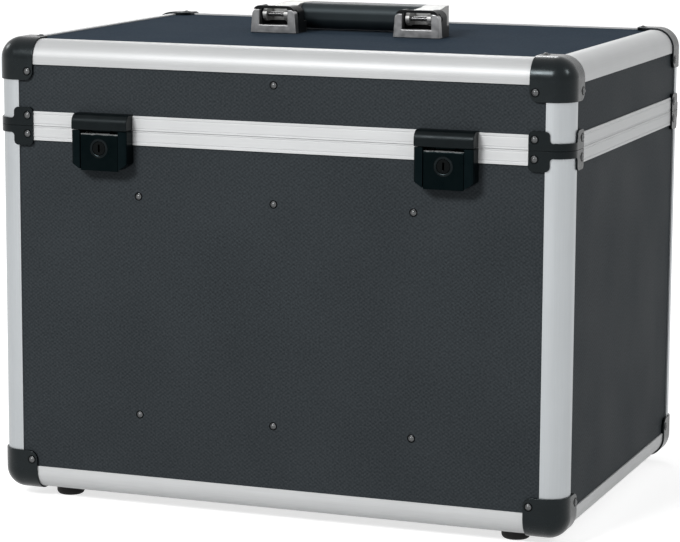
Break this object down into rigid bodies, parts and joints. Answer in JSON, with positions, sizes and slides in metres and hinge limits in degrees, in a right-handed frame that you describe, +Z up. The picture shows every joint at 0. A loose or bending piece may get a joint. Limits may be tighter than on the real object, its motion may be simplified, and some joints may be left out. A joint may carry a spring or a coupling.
{
  "type": "flight case",
  "caption": "Hard equipment case with aluminium edges, ball corner caps, a stop-hinged lid, key latches, a folding handle and lift-out dividers",
  "frame": {"origin": "on the floor, under the middle of the whole object's box, hardware included", "axes": "+Z up, the latches face -Y, +X is to the right seen from the front"},
  "size_m": [0.463, 0.3494, 0.3833],
  "materials": {
    "laminate": "finely textured satin laminate",
    "divider_board": "matte board",
    "aluminium": "satin anodised extrusion",
    "cap_black": "gloss black coat",
    "inner_plastic": "matte black",
    "clip_black": "satin black coat",
    "foot_rubber": "matte black rubber",
    "latch_black": "satin black coat",
    "lever_black": "semi-gloss black coat",
    "plug_steel": "bright plated",
    "pin_steel": "bright plated",
    "spring_steel": "bright wire",
    "hinge_steel": "satin black coat",
    "channel_aluminium": "mill finish",
    "bracket_black": "moulded black",
    "pewter": "satin pewter plate",
    "cast_grey": "grey cast metal",
    "grip_rubber": "matte black rubber"
  },
  "bodies": {
    "case": {"body_front_panel": "laminate", "body_back_panel": "laminate", "body_left_panel": "laminate", "body_right_panel": "laminate", "body_bottom_panel": "laminate", "base_front_edge": "aluminium", "base_back_edge": "aluminium", "base_left_edge": "aluminium", "base_right_edge": "aluminium", "body_posts": "aluminium", "body_front_rail": "aluminium", "body_back_rail": "aluminium", "body_left_rail": "aluminium", "body_right_rail": "aluminium", "body_corner_caps": "cap_black", "body_inner_corners": "inner_plastic", "body_corner_clips": "clip_black", "feet": "foot_rubber", "left_latch_base": "latch_black", "right_latch_base": "latch_black", "latch_pins": "pin_steel", "latch_springs": "spring_steel", "hinge_body_leaves": "hinge_steel", "hinge_pins": "pin_steel", "divider_channels": "channel_aluminium"},
    "lid": {"lid_front_panel": "laminate", "lid_back_panel": "laminate", "lid_left_panel": "laminate", "lid_right_panel": "laminate", "lid_top_panel": "laminate", "top_front_edge": "aluminium", "top_back_edge": "aluminium", "top_left_edge": "aluminium", "top_right_edge": "aluminium", "lid_posts": "aluminium", "lid_front_rail": "aluminium", "lid_back_rail": "aluminium", "lid_left_rail": "aluminium", "lid_right_rail": "aluminium", "lid_corner_caps": "cap_black", "lid_inner_corners": "inner_plastic", "lid_corner_clips": "clip_black", "latch_keepers": "latch_black", "hinge_lid_leaves": "hinge_steel", "handle_bases": "bracket_black", "handle_bezels": "pewter", "handle_pins": "pin_steel"},
    "handle": {"handle_arms": "cast_grey", "handle_grip": "grip_rubber"},
    "left_lever": {"left_latch_lever": "lever_black"},
    "right_lever": {"right_latch_lever": "lever_black"},
    "left_key": {"left_key_plug": "plug_steel"},
    "right_key": {"right_key_plug": "plug_steel"},
    "left_divider": {"divider_left": "divider_board"},
    "middle_divider": {"divider_middle": "divider_board"},
    "right_divider": {"divider_right": "divider_board"}
  },
  "joints": [
    {"name": "lid_hinge", "type": "hinge", "parent": "case", "child": "lid", "pos_m": [0, 0.1693, 0.296], "axis": [-1, 0, 0], "range_deg": [0, 100]},
    {"name": "handle_swing", "type": "hinge", "parent": "lid", "child": "handle", "pos_m": [0, -0.0037, 0.3756], "axis": [1, 0, 0], "range_deg": [0, 90]},
    {"name": "left_lever_lift", "type": "hinge", "parent": "case", "child": "left_lever", "pos_m": [-0.138, -0.1679, 0.292], "axis": [-1, 0, 0], "range_deg": [0, 30]},
    {"name": "left_key_turn", "type": "hinge", "parent": "left_lever", "child": "left_key", "pos_m": [-0.138, -0.17, 0.2825], "axis": [0, -1, 0], "range_deg": [0, 90]},
    {"name": "right_lever_lift", "type": "hinge", "parent": "case", "child": "right_lever", "pos_m": [0.138, -0.1679, 0.292], "axis": [-1, 0, 0], "range_deg": [0, 30]},
    {"name": "right_key_turn", "type": "hinge", "parent": "right_lever", "child": "right_key", "pos_m": [0.138, -0.17, 0.2825], "axis": [0, -1, 0], "range_deg": [0, 90]},
    {"name": "left_slide", "type": "slide", "parent": "case", "child": "left_divider", "axis": [0, 0, 1], "range_m": [0, 0.08]},
    {"name": "middle_slide", "type": "slide", "parent": "case", "child": "middle_divider", "axis": [0, 0, 1], "range_m": [0, 0.08]},
    {"name": "right_slide", "type": "slide", "parent": "case", "child": "right_divider", "axis": [0, 0, 1], "range_m": [0, 0.08]}
  ]
}
